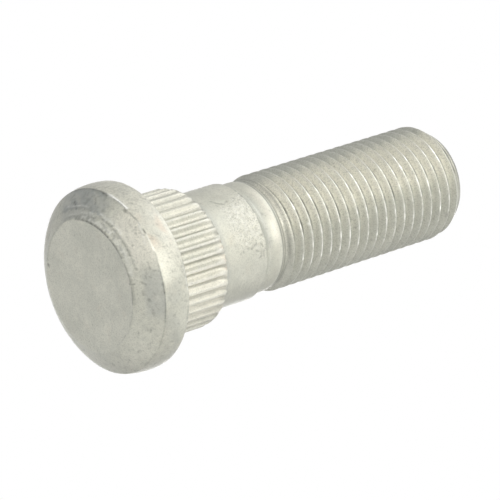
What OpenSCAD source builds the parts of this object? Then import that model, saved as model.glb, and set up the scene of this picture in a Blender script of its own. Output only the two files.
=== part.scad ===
// Wheel stud: a headed stud that is pressed into a wheel hub from behind, with a knurl that bites
// into the hub's hole, a plain shank, a short neck and a rolled thread for the wheel nut.
// It stands on the outer face of its head, with its axis along +Z.

/* [Head] */
// Largest diameter of the head, halfway up its barrelled side
head_d = 19; // [17:0.1:24]
// Height of the whole head, from the outer face to the seat
head_h = 4.75; // [3.6:0.05:8]
// Radial width of the bevelled ring round the face
bevel_w = 1.85; // [1:0.05:2.4]
// Height that the bevelled ring rises in
bevel_h = 1.4; // [0.6:0.05:1.8]
// How far the bevelled ring is crowned beyond a straight cone
bevel_crown = 0.1; // [0.02:0.01:0.2]
// Radial width of the narrow band between the face and the bevelled ring
band_w = 0.8; // [0.3:0.05:1.2]
// Height that the narrow band rises in
band_h = 0.48; // [0.2:0.02:0.7]
// How far the barrelled side falls back at its front edge
front_inset = 0.22; // [0.05:0.01:0.3]
// How far the barrelled side falls back at its back edge
back_inset = 0.08; // [0.03:0.01:0.3]
// Rounding at the head's back edge
back_round = 0.2; // [0.1:0.05:0.4]

/* [Knurl] */
// Diameter over the crests of the knurl
knurl_d = 14.5; // [14:0.1:15.6]
// Length of the knurl from the seat
knurl_len = 6.95; // [4:0.05:12]
// Number of knurl teeth
knurl_teeth = 40; // [24:1:48]
// Height of a tooth
tooth_h = 0.6; // [0.3:0.05:0.7]
// Width of the flat on top of a tooth
tooth_land = 0.22; // [0.12:0.02:0.36]
// Width of the flat floor between two teeth
tooth_gap = 0.4; // [0.2:0.02:0.5]
// Lead chamfer at the end of the knurl
knurl_lead = 0.18; // [0.1:0.02:0.4]
// Angle of the first tooth round the axis
knurl_phase = 5; // [0:0.5:15]

/* [Shank and neck] */
// Diameter of the plain shank
shank_d = 12; // [11.9:0.05:12.4]
// Length of the plain shank, from the knurl to its back edge
shank_len = 5.95; // [3:0.05:14]
// Radius of the fillet between the shank and the end of the knurl
shank_fillet = 0.45; // [0.2:0.05:0.5]
// Smallest diameter of the neck
neck_d = 11; // [10.8:0.1:11.2]
// Length of the cone from the shank down to the neck
neck_fall = 0.8; // [0.4:0.05:1.2]
// Length of the neck from the foot of that cone to the top of the collar
neck_rise = 1.3; // [0.6:0.05:3]
// Diameter of the collar, rolled up where the thread begins
collar_d = 11.36; // [11.24:0.02:11.6]
// Length of the collar's rounded end, down to the thread's run-out
collar_end = 0.65; // [0.4:0.05:0.9]
// How far the groove behind the collar lies under the neck's surface
groove_depth = 0.15; // [0.05:0.01:0.25]

/* [Thread] */
// Diameter over the thread's crests
thread_d = 11.9; // [11.7:0.02:11.96]
// Pitch of the thread
thread_pitch = 1.25; // [1:0.05:1.5]
// Depth of the thread from crest to root
thread_depth = 0.68; // [0.45:0.01:0.72]
// Width of the flat on the thread's crest
crest_w = 0.16; // [0.1:0.01:0.2]
// Width of the flat at the thread's root
root_w = 0.3; // [0.12:0.01:0.36]
// Length of the threaded end, from the collar to the tip
thread_len = 24.6; // [12:0.05:36]
// Length over which the thread's groove runs out towards the collar
run_out = 1.1; // [0.6:0.05:2]
// Angle round the axis by which the thread is turned
thread_phase = 241; // [0:1:360]

/* [Tip] */
// Length of the chamfer at the tip
tip_len = 1.3; // [0.8:0.05:2]
// Diameter of the flat end at the tip
tip_d = 10.4; // [9.4:0.1:10.8]

/* [Hidden] */

// Smoothness of the turned surfaces
$fn = 96;
// Steel under a pale zinc coating
coating = [0.8, 0.8, 0.76];
// Points along each curved stretch of the turned outline
arc_steps = 8;
// How far one solid reaches into the next, so that the two become one
bite = 0.5;

// Places along the axis
seat_z = head_h;
knurl_end_z = seat_z + knurl_len;
shank_end_z = knurl_end_z + shank_len;
neck_z = shank_end_z + neck_fall;
collar_z = neck_z + neck_rise;
thread_z = collar_z + collar_end;
tip_z = thread_z + thread_len;

// Radii of the head
head_r = head_d / 2;
front_r = head_r - front_inset;
back_r = head_r - back_inset;
band_r = front_r - bevel_w;
face_r = band_r - band_w;
front_z = band_h + bevel_h;
// A barrelled side with these two falls at its ends reaches the head's radius between them
side_bulge = pow(sqrt(front_inset) + sqrt(back_inset), 2) / 4;

// Radii of the knurl, the shank and the neck
knurl_r = knurl_d / 2;
floor_r = knurl_r - tooth_h;
// The turned blank runs through the knurl at this radius, inside its teeth
core_r = floor_r - bite;
shank_r = shank_d / 2;
// The fillet is limited by the step that it stands in, so that it stays clear of the tooth floors
fillet = min(shank_fillet, (floor_r - shank_r) * 0.8);
fillet_r = shank_r + fillet;
neck_r = neck_d / 2;
collar_r = collar_d / 2;

// Radii and divisions of the thread
crest_r = thread_d / 2;
root_r = crest_r - thread_depth;
// The groove has run out to this radius where the thread meets the collar
start_r = neck_r - groove_depth;
// The collar's rounded end stops halfway down to it
collar_foot_r = (collar_r + start_r) / 2;
tip_r = tip_d / 2;
// Sides of one turn of the thread
turn_sides = 36;
// The threaded solid starts this far inside the collar
low_z = thread_z - bite;
// Angle that the surface turns through over a flat end, for each pitch that it would have gone on
end_turn = 20;
flank_w = (thread_pitch - crest_w - root_w) / 2;
// Heights of the four corners of one thread, from root to crest and back to the next root
corner_z = [0, root_w, root_w + flank_w, root_w + flank_w + crest_w];
corner_h = [0, 0, 1, 1];
corners = len(corner_z);
// The helix begins far enough down for its first turn to lie below the threaded solid's foot
first_z = low_z - 2 * thread_pitch + thread_pitch * thread_phase / 360;
last_row = corners * ceil((tip_z - first_z) / thread_pitch + 2 / turn_sides);

// Each of these four gives the points after p, or after the arc's first point, up to the last one.
// A shallow arc from p to q that bulges by crown, to the right of the way from p to q
function bulge(p, q, crown) =
    let (way = q - p, out = [way[1], -way[0]] / norm(way))
    [for (i = [1:arc_steps])
        let (t = i / arc_steps)
        p + way * t + out * crown * 4 * t * (1 - t)];

// Part of a circle, from one angle to another
function arc(centre, radius, from, to) =
    [for (i = [1:arc_steps])
        let (a = from + (to - from) * i / arc_steps)
        centre + radius * [cos(a), sin(a)]];

// A smooth wave from p to q that leaves and arrives parallel to the axis
function wave(p, q) =
    [for (i = [1:arc_steps])
        let (t = i / arc_steps, s = t * t * (3 - 2 * t))
        [p[0] + (q[0] - p[0]) * s, p[1] + (q[1] - p[1]) * t]];

// A quarter of an ellipse that leaves p parallel to the axis and drops to q
function shoulder(p, q) =
    [for (i = [1:arc_steps])
        let (a = 90 * i / arc_steps)
        [q[0] + (p[0] - q[0]) * cos(a), p[1] + (q[1] - p[1]) * sin(a)]];

// Turned blank, from the outer face of the head to the place where the thread begins
module blank() {
    rotate_extrude()
        polygon(concat(
            [[0, 0], [face_r, 0], [band_r, band_h]],
            bulge([band_r, band_h], [front_r, front_z], bevel_crown),
            bulge([front_r, front_z], [back_r, seat_z - back_round], side_bulge),
            arc([back_r - back_round, seat_z - back_round], back_round, 0, 90),
            [[core_r, seat_z], [core_r, knurl_end_z - bite], [fillet_r, knurl_end_z - bite]],
            [[fillet_r, knurl_end_z]],
            arc([fillet_r, knurl_end_z + fillet], fillet, 270, 180),
            [[shank_r, shank_end_z], [neck_r, neck_z]],
            wave([neck_r, neck_z], [collar_r, collar_z]),
            shoulder([collar_r, collar_z], [collar_foot_r, thread_z]),
            [[0, thread_z]]
        ));
}

// Groove between two knurl teeth, seen along the axis, reaching out past the crests
module tooth_groove() {
    pitch_w = 2 * PI * knurl_r / knurl_teeth;
    mouth = (pitch_w - tooth_land) / 2;
    foot = tooth_gap / 2;
    // The flanks carry on in a straight line past the crests
    past = bite;
    wide = mouth + (mouth - foot) * past / tooth_h;
    polygon([[floor_r, -foot], [knurl_r + past, -wide], [knurl_r + past, wide], [floor_r, foot]]);
}

// Knurl: straight teeth along the axis, with a lead chamfer at their far end
module knurl() {
    intersection() {
        translate([0, 0, seat_z - bite])
            linear_extrude(height = knurl_len + bite)
                difference() {
                    circle(r = knurl_r);
                    for (i = [0:knurl_teeth - 1])
                        rotate(knurl_phase + (i + 0.5) * 360 / knurl_teeth)
                            tooth_groove();
                }
        rotate_extrude()
            polygon([
                [0, seat_z - 2 * bite],
                [knurl_r + bite, seat_z - 2 * bite],
                [knurl_r + bite, knurl_end_z - knurl_lead - bite],
                [knurl_r - knurl_lead, knurl_end_z],
                [0, knurl_end_z]
            ]);
    }
}

// Height along the axis of one corner of the helix, before the ends are squared off
function helix_z(row, side) =
    first_z + thread_pitch * (floor(row / corners) + side / turn_sides) + corner_z[row % corners];

// Share of the full thread that is cut at a height: none at the collar, all past the run-out
function cut_share(z) =
    let (t = min(1, max(0, (z - thread_z) / run_out)))
    t * t * (3 - 2 * t);

// Radius of a corner: the thread's own form, faded at the run-out and held under the tip's chamfer
function thread_r(row, z) =
    let (full = root_r + thread_depth * corner_h[row % corners],
         faded = start_r + (full - start_r) * cut_share(z),
         chamfer = tip_r + (crest_r - tip_r) * (tip_z - z) / tip_len)
    min(faded, chamfer);

// Past an end the surface turns in over the flat end face, as much as it would have gone on.
// It is a spiral there, so that no three of its corners lie in one line.
function end_point(edge_r, z, past, angle) =
    let (r = edge_r * thread_pitch / (thread_pitch + past),
         turned = angle + end_turn * past / thread_pitch)
    [r * cos(turned), r * sin(turned), z];

// True for the corner that lies nearest to a height, so that it becomes the end's edge
function is_edge(row, side, z) =
    let (here = abs(helix_z(row, side) - z))
    here <= abs(helix_z(row + 1, side) - z) && here < abs(helix_z(row - 1, side) - z);

function thread_point(row, side) =
    let (z = helix_z(row, side), angle = 360 * side / turn_sides, r = thread_r(row, z))
    row > corners && is_edge(row, side, tip_z) ? end_point(tip_r, tip_z, 0, angle)
    : z > tip_z ? end_point(tip_r, tip_z, z - tip_z, angle)
    : z < low_z ? end_point(start_r, low_z, low_z - z, angle)
    : [r * cos(angle), r * sin(angle), z];

// Threaded end: one closed solid, whose rows of corners climb one pitch in each turn.
// A row that has gone once round meets the row one pitch above it.
module threaded_end() {
    rows = last_row + 1;
    points = [for (side = [0:turn_sides - 1], row = [0:last_row]) thread_point(row, side)];
    skin = [for (side = [0:turn_sides - 1])
        let (closes = side == turn_sides - 1,
             next = closes ? 0 : side + 1,
             shift = closes ? corners : 0)
        for (row = [0:last_row - 1 - shift])
            let (a = side * rows + row,
                 b = next * rows + row + shift)
            each [[a, a + 1, b], [a + 1, b + 1, b]]];
    last = (turn_sides - 1) * rows;
    foot = concat(
        [for (side = [0:turn_sides - 1]) side * rows],
        [for (row = [corners:-1:1]) row]);
    end = concat(
        [for (side = [turn_sides - 1:-1:0]) side * rows + last_row],
        [for (row = [last_row - corners:last_row - 1]) last + row]);
    polyhedron(points = points, faces = concat(skin, [foot, end]));
}

module stud() {
    color(coating)
        union() {
            blank();
            knurl();
            threaded_end();
        }
}

stud();
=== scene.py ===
"""Wheel stud: one cold-headed piece of steel under a pale, dull zinc coating.

The stud is turned up from a circle, its knurl is pressed in, its thread is rolled from one pitch of
profile, and the two become one closed solid. Lengths are in millimetres until MM turns them into
metres, and angles are in degrees round the axis.
"""

import math
import random

import bpy
from mathutils import Matrix, Vector, kdtree, noise


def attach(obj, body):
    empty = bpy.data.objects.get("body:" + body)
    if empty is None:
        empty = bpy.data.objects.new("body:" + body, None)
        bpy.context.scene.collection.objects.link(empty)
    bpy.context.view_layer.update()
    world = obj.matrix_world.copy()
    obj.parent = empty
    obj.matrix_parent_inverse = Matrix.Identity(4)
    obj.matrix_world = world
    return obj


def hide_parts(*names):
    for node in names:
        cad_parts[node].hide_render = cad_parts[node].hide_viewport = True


MM = 0.001
# What counts as on an edge or in the face, and, in metres, what counts as nothing
HAIR = 0.01
NO_LENGTH = 1e-7

# The turned form, as the solid has it
FACE_R = 6.63
BAND_R = 7.43
FRONT_R = 9.28
BACK_R = 9.42
BAND_Z = 0.48
FRONT_Z = 1.88
SEAT_Z = 4.75
FRONT_CROWN = 0.1
SIDE_CROWN = 0.1413
BACK_ROUND = 0.2
CREST_R = 7.25
FLOOR_R = 6.65
KNURL_LEAD = 0.18
KNURL_END_Z = 11.7
FILLET = 0.45
SHANK_R = 6.0
SHANK_END_Z = 17.65
NECK_R = 5.5
NECK_Z = 18.45
COLLAR_R = 5.68
COLLAR_Z = 19.75
COLLAR_FOOT_R = 5.515
TIP_Z = 45.0

# What the turning adds to it: steps round the front edge, a ring in the seat, rings in the face
FRONT_EDGE = ((-0.05, -0.055), (0.0, 0.0), (0.015, 0.06))
SEAT_RING_R = 8.3
FACE_RINGS = (0.08, 0.1, 0.14, 0.3, 0.8, 1.5, 1.6)
# How quickly the hollow between shank and neck falls away at its start
HOLLOW_POWER = 1.45

# Rings along each stretch of the outline
BAND_RINGS = 5
BEVEL_RINGS = 15
SIDE_RINGS = 16
BACK_RINGS = 5
KNURL_RINGS = 14
FILLET_RINGS = 7
SHANK_RINGS = 38
HOLLOW_RINGS = 6
NECK_RINGS = 10
COLLAR_RINGS = 6

# The knurl, and the height of a tooth's form at each side from its middle: crest, flank and floor
TEETH = 40
SIDES_PER_TOOTH = 10
SIDES = TEETH * SIDES_PER_TOOTH
SIDE_TURN = 360 / SIDES
FIRST_TOOTH = 5.0
TOOTH_FORM = (1.0, 0.985, 0.7, 0.2, 0.03, 0.0)

# How far its teeth and grooves depart from even ones, by chance
KNURL_SEED = 11
CREST_SINK = 0.06
CREST_END_SINK = 0.06
FLOOR_RISE = (0.12, 0.22)
FLOOR_END_SINK = 0.24
TOOTH_LEAN = 0.12
RAGGED_LEN = 0.6
# It stands a little off the axis, its teeth fall away towards their ends, and its grooves run out
OFF_AXIS = 0.07
OFF_AXIS_WAY = 290
FALL = 0.52
FALL_SWING = 0.18
FALL_LEN = 0.48
RUN_OUT_LEN = 1.0

# The thread, its start out of a plain rod, and the chamfer of its tip
THREAD_Z = 20.4
PITCH = 1.25
THREAD_R = 5.95
ROOT_R = 5.27
START_R = 5.35
START_LEN = 1.1
TIP_LEN = 1.5
TIP_R = 5.0
# Its profile along one pitch: root, flank and crest, and where the middle of the crest lies
ROOT_LEN = 0.3
FLANK_LEN = 0.395
CREST_LEN = 0.16
CREST_AT = 0.775
# Height of a crest's middle at angle 0, and how the rod is screwed up from below it and cut
CREST_Z = 20.2625
TURNS_BELOW = 2
TURNS = 23
STEPS_PER_TURN = 160
THREAD_MERGE = 0.002
THREAD_FOOT_Z = 19.9

# Edges that turn by less than this are shaded round
SMOOTH_ANGLE = 32

# The lumps of the skin: from which height to which, on which arc, and how high and how wide each is
LUMPY = (
    (HAIR, BAND_Z + 0.1, "band lumps", ((0.03, 0.34), (0.015, 0.16))),
    (BAND_Z, FRONT_Z - 0.1, "bevel lumps", ((0.012, 0.8), (0.006, 0.25))),
    (FRONT_Z, SEAT_Z - 0.02, "all round", ((0.010, 1.1), (0.006, 0.35))),
    (KNURL_END_Z + FILLET, SHANK_END_Z + 0.02, "all round", ((0.006, 0.9),)),
)
# The small dents in a patch of the shank, and the lumps between them
DENT_CELL = 0.34
DENT_SHARE = 0.45
DENT_DEPTH = 0.055
DENTS_END_Z = SHANK_END_Z - 0.02
LUMPS_AMONG_DENTS = ((0.034, 0.24),)

# Where on the round each form or tint lies: an arc's ends and softness, how strong it is there, and
# for some how strong it is all round, which the arc adds to
# Many pale arcs in front carry painted light, and grey and dark arcs on top, below and in hollows carry
# painted shade
ARCS = {
    "all round": (0, 360, 1, 1.0),
    "knurl run-out": (276, 345, 10, 0.2, 0.05),
    "band lumps": (195, 275, 25, 0.65, 0.35),
    "bevel lumps": (160, 235, 20, 0.6, 0.4),
    "shank dents": (229, 279, 8, 1.0),
    "lower shank dents": (277, 294, 4, 0.7),
    "band pits": (198, 266, 12, 0.4),
    "band grey": (175, 205, 14, 0.6),
    "bevel front light": (236, 260, 14, 0.78),
    "bevel grey": (178, 208, 16, 1.0),
    "lower bevel shade": (278, 298, 11, 0.55),
    "bevel flecks": (165, 215, 10, 0.22, 0.1),
    "bevel crinkles": (184, 226, 10, 0.24),
    "side front light": (236, 266, 12, 0.45),
    "upper side light": (190, 226, 10, 0.35),
    "side crinkles": (186, 238, 10, 0.22),
    "side flecks": (186, 236, 10, 0.2, 0.06),
    "lower side flecks": (266, 292, 10, 0.2),
    "side back edge": (232, 345, 8, 0.62),
    "side rust": (242, 256, 8, 0.3),
    "knurl pale": (288, 328, 10, 0.34, 0.42),
    "knurl shine": (264, 330, 8, 0.15, 0.11),
    "knurl flank shade": (244, 280, 10, 0.3),
    "knurl rust": (268, 292, 6, 0.4),
    "knurl ragged end": (228, 286, 8, 0.75),
    "lower shank shade": (300, 350, 20, 0.15),
    "hollow shade": (236, 280, 16, 0.3, 0.1),
    "neck highlight": (226, 276, 18, 0.8),
    "neck rim": (222, 266, 8, 0.36, 0.24),
    "thread shine": (246, 312, 20, 0.85, 0.15),
    "thread root shade": (212, 275, 18, 0.48, 0.32),
    "thread crest shade": (222, 240, 8, 0.2),
    "upper thread shade": (185, 202, 22, 0.6),
    "lower thread shade": (288, 350, 15, 0.3),
    "thread front light": (226, 262, 18, 0.62, 0.1),
}

# Heights between which each comes in, or goes out where the first is the greater
SLOPES = {
    "knurl run-out": (KNURL_END_Z - RUN_OUT_LEN, KNURL_END_Z),
    "shank dents": (13.4, 15.4),
    "lower shank dents": (15.8, 16.8),
    "lower side flecks": (2.4, 3.4),
    "side back edge": (SEAT_Z - 0.17, SEAT_Z - 0.07),
    "knurl foot": (SEAT_Z + 0.2, SEAT_Z),
    "knurl rust": (KNURL_END_Z - 0.5, KNURL_END_Z),
    "knurl dark ends": (KNURL_END_Z - 0.6, KNURL_END_Z),
    "knurl ragged end": (KNURL_END_Z - 0.25, KNURL_END_Z),
    "knurl shadow on shank": (KNURL_END_Z + 1.5, KNURL_END_Z + 0.3),
    "patch": (13.2, 15.0),
    "patch widens": (15.4, 16.6),
    "lower patch": (15.6, 16.6),
    "end of the shank": (SHANK_END_Z, SHANK_END_Z - 0.12),
    "neck highlight": (18.8, 19.5),
    "collar highlight": (COLLAR_Z + 0.3, COLLAR_Z + 0.1),
    "groove floor": (COLLAR_Z + 0.35, COLLAR_Z + 0.45),
    "second groove line": (COLLAR_Z + 0.55, THREAD_Z - 0.02),
    "start of the thread": (THREAD_Z + 0.4, THREAD_Z + 0.2),
}
# Heights between which each is full, and how softly it ends outside them
BELTS = {
    "side rust": (2.2, 3.9, 0.5),
    "hollow": (SHANK_END_Z + 0.1, NECK_Z + 0.1, 0.6),
    "neck rim": (SHANK_END_Z - 0.02, SHANK_END_Z + 0.1, 0.06),
    "first groove line": (COLLAR_Z + 0.27, COLLAR_Z + 0.33, 0.09),
    "first thread line": (THREAD_Z + 0.55, THREAD_Z + 0.62, 0.06),
}

# Masks of soft lumps: how wide, and the values of the noise where one starts and is full
BLOTS = {
    "band pits": (0.3, 0.1, 0.5),
    "band glints": (0.35, 0.15, 0.5),
    "bevel flecks": (0.42, 0.2, 0.6),
    "crinkled places": (1.5, -0.3, 0.2),
    "side grey": (1.6, 0.05, 0.4),
    "side flecks": (0.24, 0.15, 0.55),
    "side rust": (1.3, -0.3, 0.4),
    "knurl rust": (0.5, -0.1, 0.3),
    "knurl dark ends": (0.45, 0.0, 0.35),
    "knurl ragged end": (0.3, -0.15, 0.25),
}
# How unevenly some of them lie: their middle strength, and the swing and the size of lumps in it
UNEVEN = {
    "marks": (0.75, 0.5, 0.3),
    "bevel grey": (1.0, 0.7, 0.9),
    "side front light": (1.0, 0.5, 1.2),
    "side back edge": (0.75, 0.6, 0.6),
    "knurl pale": (0.0, 0.2, 1.0),
    "knurl shine": (0.7, 0.7, 0.8),
    "knurl groove shade": (0.9, 0.5, 0.9),
    "shank pale": (0.04, 0.2, 2.2),
    "neck rim": (0.8, 0.5, 0.6),
    "thread shine": (0.36, 0.9, 0.6),
    "thread root shade": (0.85, 0.7, 0.8),
}
CRINKLE_SIZE = 0.75
CRINKLE_WIDTH = 0.14

# Small marks laid by chance on a stretch: how many scratches and nicks, and how dark at most
CHANCE_ON_BEVEL = (120, 110, 0.5)
CHANCE_ON_SIDE = (100, 120, 0.42)
CHANCE_ON_SHANK = (12, 40, 0.3)
MARKS_SEED = 23
CHANCE_DEPTH = 0.008
CHANCE_STEPS = 20
# A scratch's greatest turn in degrees and climb in steps, the tones and half widths, and a nick's own
SCRATCH_TURN = 4.5
SCRATCH_CLIMB = 3
CHANCE_TONES = (0.3, 1.0)
CHANCE_WIDTHS = (0.04, 0.06)
NICK_TURN = 0.5
NICK_WIDER = 0.02

# A mark is full up to this share of its half width, and gone at the second
MARK_CORE = 0.5
MARK_REACH = 2.0
MARK_STEP = 0.05

# Dark marks: nicks, scratches and pits of handling, and dark lines along the edges; each a line through
# points of angle, radius and height: half width, strength, depth
DARK_MARKS = [
    # Nicks and scratches of the bevel
    ([(184, 8.2, 0.95), (186, 8.0, 0.84)], 0.13, 0.85, 0.03),
    ([(187, 7.7, 0.63), (188, 7.6, 0.57)], 0.11, 0.6, 0.02),
    ([(205, 8.6, 1.25), (207, 8.25, 0.99)], 0.06, 0.75, 0.02),
    ([(200, 8.9, 1.52), (203, 8.8, 1.43)], 0.06, 0.35, 0.01),
    # The edge between bevel and side
    ([(180, 9.24, 1.84), (190, 9.26, 1.86), (200, 9.26, 1.86), (211, 9.24, 1.84)], 0.08, 0.6, 0.0),
    ([(208, 9.2, 1.8), (212, 9.12, 1.72)], 0.08, 0.9, 0.04),
    ([(218, 9.2, 1.8), (224, 9.22, 1.82), (229, 9.22, 1.82)], 0.05, 0.5, 0.0),
    ([(229.5, 9.14, 1.74), (231, 9.08, 1.69)], 0.11, 0.9, 0.05),
    ([(233, 9.22, 1.83), (239, 9.24, 1.85)], 0.06, 0.6, 0.0),
    ([(239, 9.28, 1.9), (244, 9.28, 1.9)], 0.045, 0.5, 0.0),
    ([(247, 9.28, 1.91), (250, 9.28, 1.92)], 0.07, 0.7, 0.02),
    ([(262, 9.28, 1.9), (272, 9.26, 1.87), (281, 9.26, 1.87)], 0.05, 0.65, 0.0),
    ([(281, 9.26, 1.87), (288, 9.26, 1.87)], 0.07, 0.9, 0.01),
    ([(288, 9.27, 1.87), (297, 9.26, 1.86), (306, 9.26, 1.87)], 0.045, 0.55, 0.0),
    ([(298, 9.25, 1.85), (300, 9.25, 1.85)], 0.07, 0.6, 0.01),
    ([(306, 9.27, 1.88), (326, 9.27, 1.88)], 0.045, 0.35, 0.0),
    ([(332, 9.22, 1.81), (346, 9.2, 1.79)], 0.05, 0.35, 0.0),
    # The edge of the face
    ([(190, 6.72, 0.05), (200, 6.66, 0.02), (208, 6.66, 0.02)], 0.09, 0.85, 0.02),
    ([(209, 6.64, 0.01), (222, 6.62, 0.01), (234, 6.64, 0.01)], 0.1, 0.95, 0.03),
    ([(236, 6.6, 0.0), (247, 6.6, 0.0), (256, 6.62, 0.0)], 0.06, 0.7, 0.0),
    ([(262, 6.62, 0.0), (270, 6.64, 0.01), (279, 6.64, 0.02)], 0.055, 0.6, 0.0),
    ([(281, 6.62, 0.0), (289, 6.6, 0.0), (297, 6.56, 0.0)], 0.05, 0.6, 0.0),
    ([(271, 6.8, 0.1), (285, 6.78, 0.09), (296, 6.74, 0.07)], 0.06, 0.3, 0.0),
    ([(303, 6.54, 0.0), (318, 6.5, 0.0)], 0.05, 0.3, 0.0),
    ([(328, 6.46, 0.0), (346, 6.44, 0.0)], 0.05, 0.25, 0.0),
    ([(125, 6.5, 0.0), (150, 6.58, 0.0), (170, 6.62, 0.0)], 0.07, 0.25, 0.0),
    # Pits of the band, and its outer edge
    ([(204, 6.9, 0.17), (206, 6.95, 0.2)], 0.12, 0.45, 0.04),
    ([(211, 7.05, 0.26), (214, 6.95, 0.2)], 0.1, 0.5, 0.04),
    ([(223, 7.1, 0.28), (226, 7.0, 0.22)], 0.12, 0.55, 0.04),
    ([(235, 7.15, 0.31), (238, 7.1, 0.28)], 0.12, 0.45, 0.04),
    ([(238, 7.35, 0.43), (241, 7.35, 0.43)], 0.09, 0.5, 0.03),
    ([(248, 7.0, 0.22), (250, 6.95, 0.2)], 0.1, 0.4, 0.03),
    ([(213, 7.32, 0.42), (221, 7.42, 0.47), (230, 7.46, 0.5)], 0.07, 0.6, 0.02),
    ([(233, 7.46, 0.5), (246, 7.48, 0.51), (258, 7.47, 0.51)], 0.07, 0.65, 0.01),
    ([(262, 7.47, 0.51), (270, 7.5, 0.52)], 0.05, 0.45, 0.01),
    # More scratches of band and bevel, and a spot on the face
    ([(279, 6.5, 0.0), (279.5, 6.75, 0.08), (279.3, 7.0, 0.23)], 0.06, 0.75, 0.01),
    ([(278, 7.5, 0.53), (279.5, 7.75, 0.68), (281, 8.0, 0.82)], 0.05, 0.6, 0.01),
    ([(273, 8.2, 0.95), (278, 8.03, 0.84)], 0.05, 0.45, 0.0),
    ([(270, 8.55, 1.22), (272, 8.66, 1.3)], 0.06, 0.45, 0.0),
    ([(273, 8.76, 1.39), (274, 9.19, 1.8)], 0.05, 0.5, 0.0),
    ([(291.5, 8.04, 0.84), (292.5, 8.04, 0.84)], 0.1, 0.6, 0.02),
    ([(286, 7.62, 0.58), (288, 7.62, 0.58)], 0.09, 0.45, 0.01),
    ([(314, 8.35, 1.06), (315, 8.35, 1.06)], 0.09, 0.5, 0.01),
    ([(120, 6.34, 0.0), (121, 6.34, 0.0)], 0.09, 0.9, 0.0),
    ([(166, 7.8, 0.69), (182, 7.66, 0.61), (204, 7.62, 0.58)], 0.08, 0.3, 0.01),
    ([(173, 6.86, 0.13), (190, 6.94, 0.2), (204, 7.1, 0.28)], 0.09, 0.35, 0.01),
    ([(176, 8.5, 1.17), (190, 8.42, 1.11), (199, 8.46, 1.14)], 0.07, 0.25, 0.0),
    # The side
    ([(269, 9.46, 4.22), (269.6, 9.46, 4.22)], 0.08, 0.45, 0.01),
    ([(253, 9.4, 2.43), (253.5, 9.4, 2.43)], 0.08, 0.4, 0.01),
    ([(300, 9.43, 4.55), (308, 9.43, 4.55)], 0.07, 0.5, 0.0),
    # The shank, with the dents of its patch
    (
        [(224, 6.0, 14.0), (229, 6.0, 14.45), (232.5, 6.0, 15.0), (231, 6.0, 15.3), (229.5, 6.0, 15.6)],
        0.06, 0.5, 0.03,
    ),
    ([(228, 6.0, 16.5), (229, 6.0, 16.6)], 0.09, 0.4, 0.04),
    ([(228, 6.0, 17.4), (228.5, 6.0, 17.5)], 0.08, 0.4, 0.04),
    ([(232, 6.0, 16.9), (232.6, 6.0, 17.0)], 0.08, 0.35, 0.03),
    ([(283, 6.0, 14.75), (284, 6.0, 14.78)], 0.08, 0.55, 0.05),
    ([(281.5, 6.0, 15.3), (282.3, 6.0, 15.5)], 0.07, 0.35, 0.03),
    ([(283, 6.0, 15.8), (282, 6.0, 16.1), (279.5, 6.0, 16.5)], 0.08, 0.5, 0.04),
    ([(286.5, 6.0, 16.4), (287.5, 6.0, 16.6)], 0.09, 0.45, 0.06),
    ([(289, 6.0, 16.9), (289.8, 6.0, 16.95)], 0.08, 0.4, 0.05),
    ([(281, 6.0, 17.1), (283, 6.0, 17.2)], 0.08, 0.42, 0.04),
    ([(285, 6.0, 17.55), (286.5, 6.0, 17.45)], 0.08, 0.45, 0.04),
    ([(292.5, 6.0, 16.85), (293.5, 6.0, 16.7)], 0.08, 0.5, 0.04),
    ([(288, 6.0, 17.3), (291, 6.0, 17.2)], 0.07, 0.45, 0.03),
    # Neck, collar, thread, knurl and tip
    ([(252, 5.52, 18.75), (253, 5.52, 18.8)], 0.1, 0.5, 0.02),
    ([(280.5, 5.65, 20.08), (281.5, 5.65, 20.08)], 0.08, 0.5, 0.0),
    ([(243, 5.9, 23.28), (249, 5.9, 23.31), (256, 5.9, 23.32)], 0.08, 0.7, 0.06),
    ([(258, 6.65, 9.2), (259, 6.65, 9.4)], 0.1, 0.4, 0.0),
    ([(311, 6.9, 10.5), (312, 6.9, 10.6)], 0.14, 0.5, 0.08),
    ([(312, 5.9, 42.66), (318, 5.9, 42.4)], 0.12, 0.4, 0.03),
]
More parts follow.
